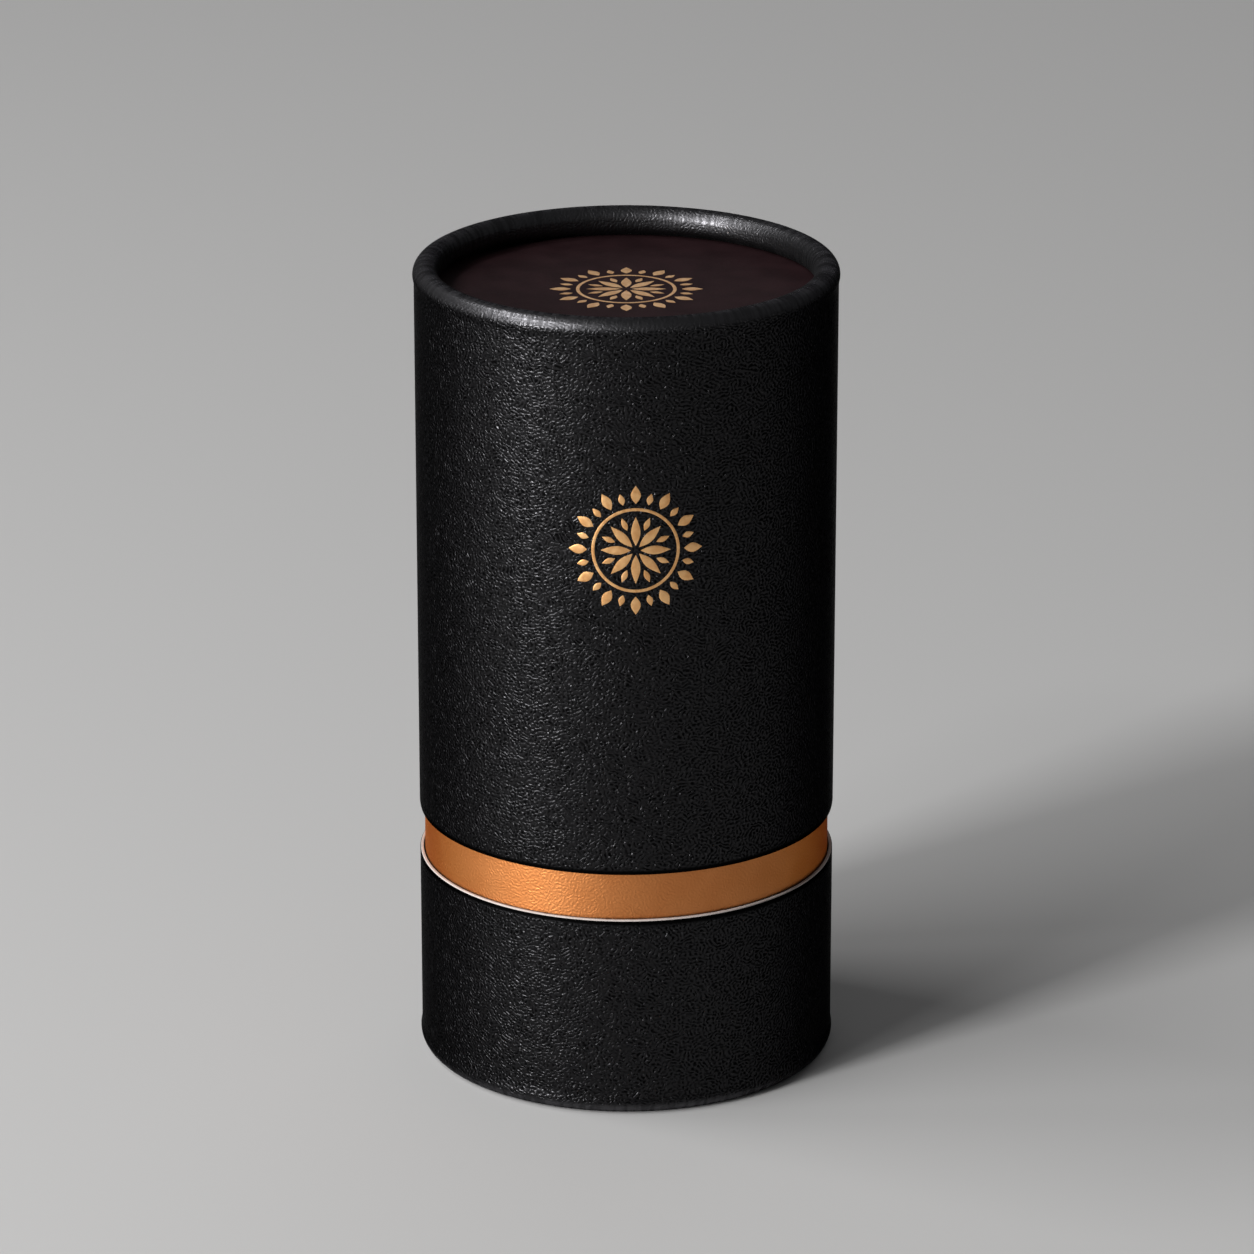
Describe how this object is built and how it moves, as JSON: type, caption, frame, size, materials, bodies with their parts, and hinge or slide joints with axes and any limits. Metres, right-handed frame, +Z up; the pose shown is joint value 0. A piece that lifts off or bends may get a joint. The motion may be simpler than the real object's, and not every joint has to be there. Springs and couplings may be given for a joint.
{
  "type": "cylindrical gift tube box",
  "caption": "Round paper gift tube with rolled rims: a deep black grained lid lifts off a copper neck that stands in a short black base.",
  "frame": {"origin": "centre of the foot ring, on the surface that the box stands on", "axes": "+Z up along the tube's axis, -Y towards the viewer, +X to the viewer's right"},
  "size_m": [0.0834, 0.0834, 0.1635],
  "materials": {
    "black_grained_paper": "leather-grain embossed black wrapping paper, satin",
    "black_smooth_paper": "smooth matte brown-black paper",
    "black_lining_paper": "plain matte black lining paper",
    "copper_paper": "metallic copper paper, satin with a fine crinkle",
    "white_board": "bare cut white board",
    "grey_board": "bare cut grey board"
  },
  "bodies": {
    "base": {"base_tube": "white_board", "base_wrap": "black_grained_paper", "base_lining": "black_lining_paper", "base_disc": "grey_board", "base_under_facing": "black_smooth_paper", "neck_tube": "grey_board", "neck_wrap": "copper_paper", "neck_lining": "black_lining_paper", "floor_lining": "black_lining_paper"},
    "lid": {"lid_tube": "white_board", "lid_wrap": "black_grained_paper", "lid_lining": "black_lining_paper", "lid_top_disc": "grey_board", "lid_top_facing": "black_smooth_paper", "lid_under_lining": "black_lining_paper"}
  },
  "joints": [
    {"name": "lid_lift", "type": "slide", "parent": "base", "child": "lid", "axis": [0, 0, 1], "range_m": [0, 0.12]}
  ]
}
